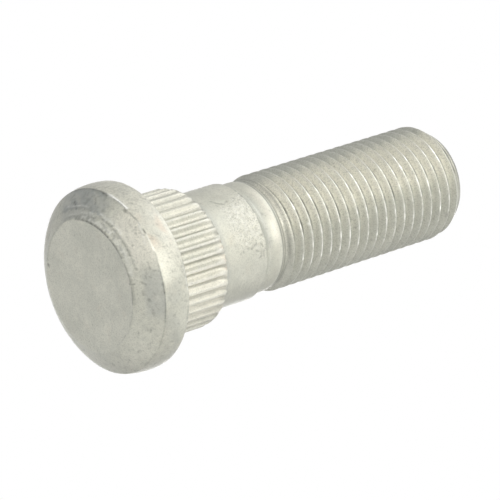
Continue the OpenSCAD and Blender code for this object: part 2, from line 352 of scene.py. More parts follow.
# Bright marks, laid in the same way: painted glints and highlights along edges and crests, partly rubbed
# metal as well
GLINTS_AND_RUBBED_LINES = [
    # Painted glints on the edge between bevel and side, and on the bevel
    ([(211, 9.3, 1.92), (214, 9.3, 1.93)], 0.07, 0.7, 0.0),
    ([(214, 9.3, 1.92), (221, 9.3, 1.92), (226, 9.3, 1.92), (230, 9.3, 1.92)], 0.09, 1.0, 0.0),
    ([(242, 9.28, 1.88), (249, 9.12, 1.72), (256, 8.95, 1.56)], 0.06, 0.5, 0.0),
    ([(251, 9.29, 1.92), (262, 9.3, 1.93)], 0.06, 0.35, 0.0),
    # Light lines of band and bevel, and one on the side: painted highlights, partly rubbed metal
    ([(212, 6.86, 0.13), (222, 6.95, 0.2), (233, 7.0, 0.23)], 0.13, 0.5, -0.02),
    ([(240, 6.95, 0.2), (256, 7.0, 0.23), (272, 6.95, 0.2)], 0.13, 0.3, 0.0),
    ([(216, 7.7, 0.64), (228, 7.74, 0.66), (240, 7.74, 0.66)], 0.09, 0.4, 0.0),
    ([(176, 7.95, 0.78), (190, 7.82, 0.71), (202, 7.8, 0.7)], 0.07, 0.35, 0.0),
    ([(180, 7.1, 0.28), (192, 7.2, 0.34), (203, 7.3, 0.4)], 0.07, 0.3, 0.0),
    ([(277, 9.42, 4.55), (290, 9.42, 4.55)], 0.06, 0.5, 0.0),
    # Painted glints on the thread's crests
    ([(277, 5.95, 23.57), (277.6, 5.95, 23.57)], 0.1, 1.0, 0.0),
    ([(252, 5.95, 42.4), (252.6, 5.95, 42.4)], 0.12, 0.9, 0.0),
    ([(224, 5.95, 38.6), (224.6, 5.95, 38.6)], 0.1, 0.7, 0.0),
    ([(227, 5.95, 39.8), (227.6, 5.95, 39.8)], 0.09, 0.6, 0.0),
    ([(311, 5.95, 42.9), (317, 5.95, 42.7)], 0.1, 0.5, 0.0),
]


# ---------------------------------------------------------------- small sums for all the rest


def eased(t):
    """A share from 0 to 1, with a soft start and end."""
    return t * t * (3 - 2 * t)


def held(value):
    """The value, kept from 0 to 1."""
    return min(1.0, max(0.0, value))


def share(value, low, high):
    """How far value is on its way from low to high, from 0 to 1, with a soft start and end."""
    return eased(held((value - low) / (high - low)))


def between(value, low, high, soft):
    """One between low and high, and fading to nothing over soft outside them."""
    return share(value, low - soft, low) * (1 - share(value, high, high + soft))


def angle_of(co):
    """Angle of a point round the axis, from 0 to 360."""
    return math.degrees(math.atan2(co.y, co.x)) % 360


def radius_of(co):
    """Distance of a point from the axis, in millimetres."""
    return math.hypot(co.x, co.y) / MM


def on_arc(name, angle):
    """How strong this form or tint is at this angle."""
    low, high, soft, strength, *all_round = ARCS[name]
    return sum(all_round) + strength * between(angle, low, high, soft)


def up_slope(name, z):
    """How far this form or tint has come in at this height."""
    low, high = SLOPES[name]
    return share(z, low, high) if low < high else 1 - share(z, high, low)


def grain(co, size):
    """Smooth noise from -1 to 1 with lumps of this size, in millimetres."""
    return noise.noise(co / (size * MM))


def uneven(name, co):
    """How strong this form or tint is here by chance."""
    middle, swing, size = UNEVEN[name]
    return middle + swing * grain(co, size)


def lumps(co, kinds):
    """Height of the skin's lumps here, from kinds given as a height and a size each."""
    return sum(height * grain(co, size) for height, size in kinds)


def from_dent(co):
    """Distance to the middle of the nearest dent of the shank's patch, in widths of a dent."""
    return noise.voronoi(co / (DENT_CELL * MM))[0][0]


# ---------------------------------------------------------------- the turned outline


def bulge(start, end, crown, steps):
    """Points of a shallow arc after start, which stands out by crown halfway."""
    way = Vector(end) - Vector(start)
    out = Vector((way.y, -way.x)).normalized()
    points = []
    for i in range(1, steps + 1):
        t = i / steps
        points.append(tuple(Vector(start) + way * t + out * crown * 4 * t * (1 - t)))
    return points


def arc(centre, radius, first, last, steps):
    """Points of part of a circle after its first one."""
    points = []
    for i in range(1, steps + 1):
        a = math.radians(first + (last - first) * i / steps)
        points.append((centre[0] + radius * math.cos(a), centre[1] + radius * math.sin(a)))
    return points


def curve(start, end, steps, across, up=float):
    """Points after start, up to end. Across and up turn a share of the steps into one of each way."""
    points = []
    for i in range(1, steps + 1):
        t = i / steps
        r = start[0] + (end[0] - start[0]) * across(t)
        points.append((r, start[1] + (end[1] - start[1]) * up(t)))
    return points


def straight(start, end, steps):
    """Evenly spaced points after start, up to end."""
    return [tuple(Vector(start).lerp(Vector(end), i / steps)) for i in range(1, steps + 1)]


def wave(start, end, steps):
    """A smooth rise that leaves and arrives parallel to the axis."""
    return curve(start, end, steps, eased)


def hollow(start, end, steps):
    """A fall that leaves start at a sharp edge and arrives parallel to the axis."""
    return curve(start, end, steps, lambda t: 1 - (1 - t) ** HOLLOW_POWER)


def shoulder(start, end, steps):
    """A quarter of an ellipse that leaves start parallel to the axis and drops to end."""
    quarter = math.pi / 2
    return curve(start, end, steps, lambda t: 1 - math.cos(quarter * t), lambda t: math.sin(quarter * t))


def bevel(steps):
    """The crowned ring between the band and the side."""
    return bulge((BAND_R, BAND_Z), (FRONT_R, FRONT_Z), FRONT_CROWN, steps)


def barrelled_side(steps):
    """The side of the head, up to the rounding of its back edge."""
    return bulge((FRONT_R, FRONT_Z), (BACK_R, SEAT_Z - BACK_ROUND), SIDE_CROWN, steps)


def outline():
    """The whole turned outline, from the edge of the face to the end of the collar."""
    points = [(FACE_R, 0.0)]
    points += straight((FACE_R, 0), (BAND_R, BAND_Z), BAND_RINGS)
    points += bevel(BEVEL_RINGS)[:-1]
    points += [(FRONT_R + out, FRONT_Z + up) for out, up in FRONT_EDGE]
    points += barrelled_side(SIDE_RINGS)
    points += arc((BACK_R - BACK_ROUND, SEAT_Z - BACK_ROUND), BACK_ROUND, 0, 90, BACK_RINGS)
    points += [(SEAT_RING_R, SEAT_Z), (CREST_R, SEAT_Z)]
    points += straight((CREST_R, SEAT_Z), (CREST_R, KNURL_END_Z - KNURL_LEAD), KNURL_RINGS)
    points += [(CREST_R - KNURL_LEAD, KNURL_END_Z), (SHANK_R + FILLET, KNURL_END_Z)]
    points += arc((SHANK_R + FILLET, KNURL_END_Z + FILLET), FILLET, 270, 180, FILLET_RINGS)
    points += straight((SHANK_R, KNURL_END_Z + FILLET), (SHANK_R, SHANK_END_Z), SHANK_RINGS)
    points += hollow((SHANK_R, SHANK_END_Z), (NECK_R, NECK_Z), HOLLOW_RINGS)
    points += wave((NECK_R, NECK_Z), (COLLAR_R, COLLAR_Z), NECK_RINGS)
    points += shoulder((COLLAR_R, COLLAR_Z), (COLLAR_FOOT_R, THREAD_Z), COLLAR_RINGS)
    return points


# ---------------------------------------------------------------- modelling


def only(piece):
    """Make this piece the one that is active and selected."""
    bpy.ops.object.select_all(action="DESELECT")
    piece.select_set(True)
    bpy.context.view_layer.objects.active = piece


def edit_all(kind):
    """Go into edit mode, with all vertices or faces of the mesh selected."""
    bpy.ops.object.mode_set(mode="EDIT")
    bpy.ops.mesh.select_mode(type=kind)
    bpy.ops.mesh.select_all(action="SELECT")


def face_outward():
    """Select all of the mesh in edit mode, turn its faces outward and leave edit mode."""
    bpy.ops.mesh.select_all(action="SELECT")
    bpy.ops.mesh.normals_make_consistent(inside=False)
    bpy.ops.object.mode_set(mode="OBJECT")


def turn_blank():
    """Head, knurl blank, shank, neck and collar, drawn up from a circle one station at a time."""
    points = outline()
    radius, height = points[0]
    bpy.ops.object.select_all(action="DESELECT")
    # The sides are turned so that one stands on every crest and every floor of the knurl
    bpy.ops.mesh.primitive_circle_add(
        vertices=SIDES,
        radius=radius * MM,
        fill_type="NGON",
        rotation=(0, 0, math.radians(FIRST_TOOTH % SIDE_TURN)),
    )
    blank = bpy.context.object
    bpy.ops.object.transform_apply(location=True, rotation=True, scale=True)
    edit_all("FACE")
    for r, z in points[1:]:
        bpy.ops.mesh.extrude_region_move(
            TRANSFORM_OT_translate={"value": (0, 0, (z - height) * MM)}
        )
        bpy.ops.transform.resize(value=(r / radius, r / radius, 1), center_override=(0, 0, z * MM))
        radius, height = r, z
    bpy.ops.object.mode_set(mode="OBJECT")

    # Rings in the flat face, which is the only face at the bottom with more than four corners
    for face in blank.data.polygons:
        face.select = face.center.z < NO_LENGTH and len(face.vertices) > 4
    bpy.ops.object.mode_set(mode="EDIT")
    for width in FACE_RINGS:
        bpy.ops.mesh.inset(thickness=width * MM)
    face_outward()
    return blank


def press_knurl(blank):
    """Press the grooves between the teeth into the knurl's blank, each a little different."""
    chance = random.Random(KNURL_SEED)
    crest = [chance.uniform(-CREST_SINK, 0.0) for _ in range(TEETH)]
    crest_end = [chance.uniform(-CREST_END_SINK, 0.0) for _ in range(TEETH)]
    floor = [chance.uniform(*FLOOR_RISE) for _ in range(TEETH)]
    floor_end = [chance.uniform(-FLOOR_END_SINK, 0.0) for _ in range(TEETH)]
    lean = [chance.uniform(-TOOTH_LEAN, TOOTH_LEAN) for _ in range(TEETH)]
    # The blank's own skin, from the seat to the lead, is all that is pressed
    lowest, highest = SEAT_Z - HAIR, KNURL_END_Z + HAIR
    inmost, outmost = CREST_R - KNURL_LEAD - HAIR, CREST_R + HAIR
    for vertex in blank.data.vertices:
        z, r, a = vertex.co.z / MM, radius_of(vertex.co), angle_of(vertex.co)
        if not (lowest < z < highest and inmost < r < outmost):
            continue
        # Which side of which tooth this is, and which groove lies next to it
        side = round((a - FIRST_TOOTH) % 360 / SIDE_TURN)
        nearest = round(side / SIDES_PER_TOOTH)
        step = abs(side - nearest * SIDES_PER_TOOTH)
        tooth = nearest % TEETH
        gap = math.floor(side / SIDES_PER_TOOTH) % TEETH
        rise = TOOTH_FORM[step]
        off_axis = OFF_AXIS * (math.cos(math.radians(a - OFF_AXIS_WAY)) - 1)
        top = CREST_R + crest[tooth] + off_axis
        fall = FALL - FALL_SWING * math.cos(math.radians(a))
        top -= fall * max(0.0, z - KNURL_END_Z + FALL_LEN)
        low = FLOOR_R + floor[gap] + on_arc("knurl run-out", a) * up_slope("knurl run-out", z)
        target = low + (top - low) * rise
        if z > KNURL_END_Z - HAIR:
            target = min(target, r + off_axis)
        # Only the crest and the upper flanks lean, and the floors stay where they are
        turned = math.radians(a + (lean[tooth] if step < 3 else 0.0))
        vertex.co.x = target * MM * math.cos(turned)
        vertex.co.y = target * MM * math.sin(turned)
        at_end = (z - KNURL_END_Z + RAGGED_LEN) / RAGGED_LEN
        if at_end > 0:
            drop = crest_end[tooth] * rise + floor_end[gap] * (1 - rise)
            vertex.co.z += drop * min(1.0, at_end) ** 2 * MM


def thread_profile():
    """One pitch of the thread, as heights and shares of its depth, with its edges a little round."""
    top = ROOT_LEN + FLANK_LEN
    back = top + CREST_LEN
    return [
        (-0.04, 0.1),
        (0.05, 0.0),
        (ROOT_LEN - 0.05, 0.0),
        (ROOT_LEN + 0.04, 0.1),
        (ROOT_LEN + FLANK_LEN / 2, 0.5),
        (top - 0.03, 0.925),
        (top + 0.02, 0.99),
        (top + CREST_LEN / 2, 1.0),
        (back - 0.02, 0.99),
        (back + 0.03, 0.925),
        (back + FLANK_LEN / 2, 0.5),
        (PITCH - 0.04, 0.1),
    ]


def square_off(z, **cleared):
    """Cut the mesh in edit mode straight across at this height, and close the cut."""
    bpy.ops.mesh.select_all(action="SELECT")
    bpy.ops.mesh.bisect(
        plane_co=(0, 0, z * MM), plane_no=(0, 0, 1), use_fill=True, threshold=NO_LENGTH, **cleared
    )


def roll_thread():
    """The threaded end: one pitch of profile, screwed up the axis and squared off at both ends."""
    profile = thread_profile()
    first = CREST_Z - TURNS_BELOW * PITCH - CREST_AT
    depth = THREAD_R - ROOT_R
    bpy.ops.object.select_all(action="DESELECT")
    z, part = profile[0]
    spot = Vector((ROOT_R + depth * part, 0, first + z)) * MM
    bpy.ops.mesh.primitive_plane_add(size=MM, location=spot)
    rod = bpy.context.object
    bpy.ops.object.transform_apply(location=True, rotation=True, scale=True)
    edit_all("VERT")
    bpy.ops.mesh.merge(type="CENTER")
    for next_z, next_part in profile[1:]:
        move = Vector((depth * (next_part - part), 0, next_z - z)) * MM
        bpy.ops.mesh.extrude_vertices_move(TRANSFORM_OT_translate={"value": move})
        z, part = next_z, next_part
    bpy.ops.object.mode_set(mode="OBJECT")

    screw = rod.modifiers.new("screw", "SCREW")
    screw.axis = "Z"
    screw.angle = math.tau
    screw.screw_offset = PITCH * MM
    screw.iterations = TURNS
    screw.steps = STEPS_PER_TURN
    screw.render_steps = STEPS_PER_TURN
    only(rod)
    bpy.ops.object.modifier_apply(modifier=screw.name)
    edit_all("VERT")
    bpy.ops.mesh.remove_doubles(threshold=THREAD_MERGE * MM)
    bpy.ops.object.mode_set(mode="OBJECT")

    # The thread starts up out of a plain rod, and ends in the chamfer of the tip
    for vertex in rod.data.vertices:
        z, r = vertex.co.z / MM, radius_of(vertex.co)
        started = START_R + (r - START_R) * eased(held((z - THREAD_Z) / START_LEN))
        chamfer = TIP_R + (THREAD_R - TIP_R) * (TIP_Z - z) / TIP_LEN
        target = min(started, chamfer)
        vertex.co.x *= target / r
        vertex.co.y *= target / r

    bpy.ops.object.mode_set(mode="EDIT")
    square_off(THREAD_FOOT_Z, clear_inner=True)
    square_off(TIP_Z, clear_outer=True)
    face_outward()
    return rod


def join_solids(blank, rod):
    """Make one closed solid of the two, and take away what was left of the second."""
    joined = blank.modifiers.new("joined", "BOOLEAN")
    joined.operation = "UNION"
    joined.solver = "EXACT"
    joined.object = rod
    only(blank)
    bpy.ops.object.modifier_apply(modifier=joined.name)
    bpy.data.objects.remove(rod)


# ---------------------------------------------------------------- dents and marks


def lump_at(co):
    """How far the skin stands out here, or in, in millimetres."""
    z, a = co.z / MM, angle_of(co)
    height = 0.0
    for low, high, arc_name, kinds in LUMPY:
        if low < z < high:
            height = on_arc(arc_name, a) * lumps(co, kinds)
            break
    # A patch of small dents, close together, next to the neck
    dented = on_arc("shank dents", a) * up_slope("shank dents", z)
    dented += on_arc("lower shank dents", a) * up_slope("lower shank dents", z)
    if dented > 0 and z < DENTS_END_Z:
        dent = DENT_DEPTH * (1 - share(from_dent(co), 0.0, DENT_SHARE))
        height += min(1.0, dented) * (lumps(co, LUMPS_AMONG_DENTS) - dent)
    return height


def chance_marks():
    """Short faint scratches and nicks all round the head, and a few on the shank."""
    chance = random.Random(MARKS_SEED)
    foot = (SHANK_R, KNURL_END_Z + 1)
    stretches = (
        ([(BAND_R, BAND_Z)] + bevel(CHANCE_STEPS), CHANCE_ON_BEVEL),
        ([(FRONT_R, FRONT_Z)] + barrelled_side(CHANCE_STEPS), CHANCE_ON_SIDE),
        ([foot] + straight(foot, (SHANK_R, SHANK_END_Z), CHANCE_STEPS), CHANCE_ON_SHANK),
    )
    marks = []
    for strip, (scratches, nicks, strength) in stretches:
        for i in range(scratches + nicks):
            a, at = chance.uniform(0, 360), chance.randint(0, CHANCE_STEPS - 1)
            turn = chance.uniform(-SCRATCH_TURN, SCRATCH_TURN)
            climb = chance.randint(-SCRATCH_CLIMB, SCRATCH_CLIMB)
            tone, width = chance.uniform(*CHANCE_TONES) ** 2, chance.uniform(*CHANCE_WIDTHS)
            if i >= scratches:
                turn, climb, width = NICK_TURN, 0, width + NICK_WIDER
            end = min(CHANCE_STEPS, max(0, at + climb))
            half = (at + end) // 2
            points = [(a, *strip[at]), (a + turn / 2, *strip[half]), (a + turn, *strip[end])]
            marks.append((points, width, strength * tone, CHANCE_DEPTH))
    return marks


def along(points):
    """Places at even small steps along a line given by angle, radius and height."""
    spots = []
    for (a0, r0, z0), (a1, r1, z1) in zip(points, points[1:]):
        long = math.hypot(math.radians(a1 - a0) * r0, r1 - r0, z1 - z0)
        steps = max(1, round(long / MARK_STEP))
        for i in range(steps + 1):
            t = i / steps
            a, r = math.radians(a0 + (a1 - a0) * t), r0 + (r1 - r0) * t
            spots.append(Vector((r * math.cos(a), r * math.sin(a), z0 + (z1 - z0) * t)) * MM)
    return spots


def lay_marks(mesh):
    """How dark and how bright the marks make each point, and how deep they sink it."""
    finder = kdtree.KDTree(len(mesh.vertices))
    for vertex in mesh.vertices:
        finder.insert(vertex.co, vertex.index)
    finder.balance()
    dark, bright, depth = ([0.0] * len(mesh.vertices) for _ in range(3))
    for marks, tone in ((DARK_MARKS, dark), (chance_marks(), dark), (GLINTS_AND_RUBBED_LINES, bright)):
        for points, width, strength, sink in marks:
            for spot in along(points):
                for co, index, away in finder.find_range(spot, MARK_REACH * width * MM):
                    near = 1 - share(away / MM, width * MARK_CORE, width * MARK_REACH)
                    ragged = 1.0 if strength == 1.0 else uneven("marks", co)
                    tone[index] = max(tone[index], strength * near * ragged)
                    # A mark with no depth levels what it crosses, and a raised one takes its place
                    deeper = max if sink > 0 else min
                    depth[index] = deeper(depth[index], sink * near)
    return dark, bright, depth


def batter(stud):
    """Lumps, dents and marks of forging and handling, which move the skin by a few hundredths."""
    mesh = stud.data
    normals = [Vector(v.vector) for v in mesh.vertex_normals]
    for vertex, normal in zip(mesh.vertices, normals):
        in_face = vertex.co.z / MM < HAIR
        vertex.co += normal * lump_at(vertex.co) * MM
        if in_face:
            vertex.co.z = 0.0

    dark, bright, depth = lay_marks(mesh)
    for vertex, normal in zip(mesh.vertices, normals):
        if depth[vertex.index] and vertex.co.z > HAIR * MM:
            vertex.co -= normal * depth[vertex.index] * MM
    return dark, bright


# ---------------------------------------------------------------- marks of use on the coating, and painted light and shade


class Spot:
    """One point of the skin: where it lies, and how its coating looks there."""

    def __init__(self, co, rubbed_and_lit, stained_and_shaded):
        self.co, self.z, self.r, self.a = co, co.z / MM, radius_of(co), angle_of(co)
        # Rubbing, which also carries painted highlights, and staining, which also carries painted shade
        self.rubbed_and_lit, self.stained_and_shaded = rubbed_and_lit, stained_and_shaded
        # Pale and grey hold the coating's own tones and also painted light and painted shade
        self.granular, self.pale, self.grey, self.rusty = 0.0, 0.0, 0.0, 0.0

    def rub_and_light(self, amount):
        self.rubbed_and_lit = max(self.rubbed_and_lit, amount)

    def stain_and_shade(self, amount):
        self.stained_and_shaded = max(self.stained_and_shaded, amount)

    def on(self, name):
        return on_arc(name, self.a)

    def up(self, name):
        return up_slope(name, self.z)

    def belt(self, name):
        return between(self.z, *BELTS[name])

    def uneven(self, name):
        return uneven(name, self.co)

    def blots(self, name, shift=0):
        """A mask of soft lumps. A shift, in metres, takes it from another part of the noise."""
        size, low, high = BLOTS[name]
        return share(grain(self.co + Vector((0, 0, shift)), size), low, high)

    def crinkles(self):
        """Thin crooked lines, in places."""
        line = 1 - share(abs(grain(self.co, CRINKLE_SIZE)), 0.0, CRINKLE_WIDTH)
        return line * self.blots("crinkled places")


def wear_face(spot):
    """The flat face, which has nothing but its marks."""


def band_wear_and_light(spot):
    """The narrow band round the face: pitted on one side, with painted glints in its pits, and grey on top,
    partly the coating's grey and partly painted shade.
    """
    spot.stain_and_shade(spot.on("band pits") * spot.blots("band pits"))
    # The glints in the pits are painted highlights
    spot.rub_and_light(spot.on("band pits") * spot.blots("band glints", shift=1))
    # Grey on top is partly the coating's own grey, partly painted shade
    spot.grey = spot.on("band grey")


def bevel_wear_and_light(spot):
    """The bevelled ring: cloudy grey on top, partly the coating's own grey and partly painted shade, painted
    shade below, pale in front in painted light, with crinkles and flecks.
    """
    # Pale in front is painted light; grey on top is partly painted shade; grey low on the outer half is
    # painted shade
    spot.pale = spot.on("bevel front light") + 0.25 * max(0.0, grain(spot.co, 0.55))
    spot.grey = spot.on("bevel grey") * spot.uneven("bevel grey")
    spot.grey += spot.on("lower bevel shade") * share(spot.r, 7.5, 8.1)
    spot.stain_and_shade(spot.on("bevel flecks") * spot.blots("bevel flecks"))
    spot.stain_and_shade(spot.on("bevel crinkles") * spot.crinkles())


def side_wear_and_light(spot):
    """The head's side: pale in front and on top in painted light, crinkled and flecked, dark at its back
    edge, with a rusty tint.
    """
    # Pale in front and on top is painted light, laid where the lamps fall
    spot.pale = spot.on("side front light") * spot.uneven("side front light") + spot.on("upper side light")
    spot.grey = 0.25 * spot.blots("side grey")
    spot.stain_and_shade(spot.on("side crinkles") * spot.crinkles())
    flecks = spot.on("side flecks") + spot.on("lower side flecks") * spot.up("lower side flecks")
    spot.stain_and_shade(flecks * spot.blots("side flecks"))
    edge = spot.on("side back edge") * spot.up("side back edge")
    spot.stain_and_shade(edge * spot.uneven("side back edge"))
    spot.rusty = spot.on("side rust") * spot.belt("side rust") * spot.blots("side rust")


def line_on_tooth(a):
    """Side of its tooth where a groove's thin line of painted shade lies: it goes over from flank to flank
    in front.
    """
    front = min(44.0, max(-44.0, a - 270))
    side = 1.5 + 5.8 * math.tan(math.radians(front)) if 180 < a < 360 else 3.4
    return side - 2.6 if a < 262 else side


def knurl_wear_and_light(spot):
    """The knurl: crests lighter with rubbing and painted highlights, a thin line of painted shade by each
    groove, dark at both ends.
    """
    half = SIDES_PER_TOOTH / 2
    step = ((spot.a - FIRST_TOOTH) / SIDE_TURN + half) % SIDES_PER_TOOTH - half
    # Paler all round and more in the lower front: partly the pressed zinc, partly painted light
    spot.pale = spot.uneven("knurl pale") + spot.on("knurl pale")
    crest = 1 - share(abs(step), 0.6, 1.6)
    # Crests in front lighter: partly rubbing, partly painted highlight
    spot.rub_and_light(spot.on("knurl shine") * crest * spot.uneven("knurl shine"))
    # A thin line of painted shade beside each groove, going over from flank to flank round the front
    from_line = abs((step - line_on_tooth(spot.a) + half) % SIDES_PER_TOOTH - half)
    line = 1 - share(from_line, 0.5, 1.3)
    spot.stain_and_shade((0.22 + 0.14 * share(spot.a, 256, 266)) * line * spot.uneven("knurl groove shade"))
    # Grey flanks in front are painted shade
    spot.grey = spot.on("knurl flank shade") * between(abs(step), 2.0, 3.2, 0.6)
    spot.stain_and_shade(0.7 * spot.up("knurl foot"))
    # The ends of the teeth are ragged, darker in blots and most in the grooves, and a little rusty in front
    spot.rusty = spot.on("knurl rust") * spot.up("knurl rust") * spot.blots("knurl rust")
    dark_end = spot.up("knurl dark ends") * spot.blots("knurl dark ends")
    spot.stain_and_shade(0.75 * dark_end * (1 - 0.5 * share(spot.r, FLOOR_R + 0.1, CREST_R - 0.05)))
    ragged_end = spot.up("knurl ragged end") * spot.blots("knurl ragged end")
    spot.stain_and_shade(spot.on("knurl ragged end") * ragged_end)


def shank_wear_and_light(spot):
    """The plain shank, with its granular dented patch next to the neck, the knurl's painted shadow and
    painted shade on its lower side.
    """
    # The edge of the patch wanders by a few degrees, and it is wider near the neck
    wander = 4.0 * grain(spot.co, 0.8)
    a = spot.a + wander
    patch = between(a, 236 - 7 * spot.up("patch widens"), 279, 4)
    patch *= up_slope("patch", spot.z + 0.1 * wander)
    patch = max(patch, 0.6 * between(a, 276, 294, 3) * spot.up("lower patch"))
    patch *= spot.up("end of the shank")
    spot.granular += 0.5 * patch
    spot.pale = 0.2 * patch + spot.uneven("shank pale")
    # Darker in the dents and lighter between them: painted shade and painted highlight on the dents' relief
    near = from_dent(spot.co)
    spot.stain_and_shade(0.2 * patch * (1 - share(near, 0.08, 0.36)))
    spot.rub_and_light(0.22 * patch * share(near, 0.45, 0.75))
    # Grey next to the knurl is a painted shadow of its teeth, and grey on the lower side is painted shade
    spot.grey = 0.7 * spot.up("knurl shadow on shank") + spot.on("lower shank shade")


def neck_wear_and_light(spot):
    """The hollow, grey in painted shade, and the rise to the collar, pale with a painted highlight, with a
    broken dark rim where the shank ends.
    """
    spot.granular += 0.3 * spot.belt("hollow")
    spot.grey = spot.on("hollow shade") * spot.belt("hollow")
    spot.pale = spot.on("neck highlight") * spot.up("neck highlight")
    spot.stain_and_shade(spot.on("neck rim") * spot.belt("neck rim") * spot.uneven("neck rim"))


def collar_wear_and_light(spot):
    """The collar, pale with a painted highlight, and the groove behind it with two thin lines of painted
    shade and a lighter one between.
    """
    spot.pale = spot.on("neck highlight") * spot.up("collar highlight")
    # The thin dark lines in the groove are painted shade
    spot.stain_and_shade(0.7 * spot.belt("first groove line"))
    spot.stain_and_shade(0.2 * spot.up("groove floor") + 0.5 * spot.up("second groove line"))


def thread_wear_and_light(spot):
    """The thread: crests lit here and there with painted highlights, roots in painted shade, greyer in
    painted shade on top and below, and pale in painted light in front.
    """
    out = (spot.r - ROOT_R) / (THREAD_R - ROOT_R)
    here_and_there = min(0.9, max(0.0, spot.uneven("thread shine") + 0.7 * grain(spot.co, 0.22)))
    # Crests in front lighter: painted highlights, partly rubbing
    spot.rub_and_light(spot.on("thread shine") * share(out, 0.95, 1.0) * here_and_there)
    root = 1 - share(out, 0.0, 0.09)
    # Dark roots are painted shade
    spot.stain_and_shade(spot.on("thread root shade") * root * spot.uneven("thread root shade"))
    # Crests on top darkened in painted shade
    spot.stain_and_shade(spot.on("thread crest shade") * share(out, 0.8, 1.0))
    # Two lines of painted shade at the thread's start
    spot.stain_and_shade(0.5 * spot.up("start of the thread"))
    spot.stain_and_shade(0.35 * spot.belt("first thread line"))
    spot.grey = spot.on("upper thread shade") + spot.on("lower thread shade")
    spot.pale = spot.on("thread front light")


# Each stretch of the stud: the height where it ends, how granular it is, and how it wears and what light and
# shade are painted on it
STRETCHES = (
    (HAIR, 0.52, wear_face),
    (BAND_Z + 0.08, 0.6, band_wear_and_light),
    (FRONT_Z, 0.5, bevel_wear_and_light),
    (SEAT_Z - HAIR, 0.5, side_wear_and_light),
    (KNURL_END_Z + HAIR, 0.55, knurl_wear_and_light),
    (SHANK_END_Z, 0.5, shank_wear_and_light),
    (COLLAR_Z, 0.3, neck_wear_and_light),
    (THREAD_Z + 0.15, 0.4, collar_wear_and_light),
    (math.inf, 0.75, thread_wear_and_light),
)


def wear_and_light(stud, dark, bright):
    """Keep on each point its rubbing and painted highlight, its staining and painted shade, its grain, and
    how pale, grey and rusty it is, with pale and grey partly painted light and shade.
    """
    mesh = stud.data
    worn_and_lit = mesh.color_attributes.new("wear_and_light", "FLOAT_COLOR", "POINT")
    zinc = mesh.color_attributes.new("zinc", "FLOAT_COLOR", "POINT")
    for vertex in mesh.vertices:
        index = vertex.index
        spot = Spot(vertex.co, bright[index], dark[index])
        spot.granular, stretch_wear_and_light = next(row[1:] for row in STRETCHES if spot.z < row[0])
        stretch_wear_and_light(spot)
        worn_and_lit.data[index].color = (held(spot.rubbed_and_lit), held(spot.stained_and_shaded), spot.granular, 1)
        zinc.data[index].color = (held(spot.pale), held(spot.grey), held(spot.rusty), 1)


def make_stud():
    """The whole stud as one closed mesh, with its marks of use and its painted light and shade laid on."""
    stud = turn_blank()
    stud.name = stud.data.name = "wheel_stud"
    press_knurl(stud)
    join_solids(stud, roll_thread())
    dark, bright = batter(stud)
    wear_and_light(stud, dark, bright)
    only(stud)
    bpy.ops.object.shade_smooth_by_angle(angle=math.radians(SMOOTH_ANGLE))
    return stud


# ---------------------------------------------------------------- materials

# Colours of the coating, from its clean zinc to what lies on it and under it, and the pale, grey, bright and
# dark ones that also paint light and shade
ZINC_THIN = (0.63, 0.635, 0.555, 1)
ZINC_THICK = (0.75, 0.745, 0.645, 1)
ZINC_TARNISHED = (0.6, 0.55, 0.45, 1)
# Grey and pale stand partly for the coating's own tones, partly for painted shade and painted light
GREY_ZINC_AND_SHADE = (0.43, 0.45, 0.43, 1)
PALE_ZINC_AND_LIGHT = (0.87, 0.845, 0.74, 1)
ZINC_MOTTLED = (0.42, 0.42, 0.37, 1)
RUST_TINT = (0.6, 0.42, 0.3, 1)
GRAIN_SHADE = (0.36, 0.36, 0.31, 1)
SPECK = (0.24, 0.24, 0.2, 1)
# Bright for rubbed metal and for painted highlights and glints
RUBBED_AND_HIGHLIGHT = (0.93, 0.93, 0.88, 1)
# Dark for stains and marks, and for painted shade in roots, grooves and dents
STAIN_AND_SHADE_COLOUR = (0.12, 0.125, 0.11, 1)

# How strongly each lies over the one before, where its mask is full
TARNISH_SHARE = 0.35
MOTTLE_SHARE = 0.2
GRAIN_SHARE = 0.9
SPECK_SHARE = 0.38
GRAIN_BUMP = 0.8
GRAIN_BUMP_HEIGHT = 0.03

# Lumps to the metre in each kind of noise
CRYSTALS = 5600.0
PITS = 7500.0
CLOUDS = 330.0
MOTTLE = 1700.0
SPECKS = 2300.0
TARNISH = 620.0


def new_material(name):
    """An empty material, and its nodes."""
    material = bpy.data.materials.new(name)
    material.use_nodes = True
    material.node_tree.nodes.clear()
    return material, material.node_tree


def feed(tree, socket, value):
    """Link another socket to this one, or set it to a number or a colour."""
    if isinstance(value, bpy.types.NodeSocket):
        tree.links.new(value, socket)
    else:
        socket.default_value = value


def put(tree, kind, **values):
    """Add one node, and feed each named socket; a name of the node's own sets the node itself."""
    node = tree.nodes.new("ShaderNode" + kind)
    for key, value in values.items():
        if hasattr(node, key):
            setattr(node, key, value)
        else:
            feed(tree, node.inputs[key], value)
    return node


def group(name, inputs, outputs):
    """An empty group of nodes. Inputs are given as a name, a kind and a value or none; outputs by name."""
    tree = bpy.data.node_groups.new(name, "ShaderNodeTree")
    for label, kind, value in inputs:
        socket = tree.interface.new_socket(name=label, in_out="INPUT", socket_type=kind)
        if value is not None:
            socket.default_value = value
    for label in outputs:
        tree.interface.new_socket(name=label, in_out="OUTPUT", socket_type="NodeSocketFloat")
    return tree, tree.nodes.new("NodeGroupInput"), tree.nodes.new("NodeGroupOutput")


def place_group(tree, made, **values):
    """Put a group of nodes into a material, and feed its named sockets."""
    node = tree.nodes.new("ShaderNodeGroup")
    node.node_tree = made
    for key, value in values.items():
        feed(tree, node.inputs[key], value)
    return node


def reckon(tree, operation, *values):
    """One step of arithmetic on sockets or numbers."""
    node = tree.nodes.new("ShaderNodeMath")
    node.operation = operation
    for socket, value in zip(node.inputs, values):
        feed(tree, socket, value)
    return node.outputs[0]


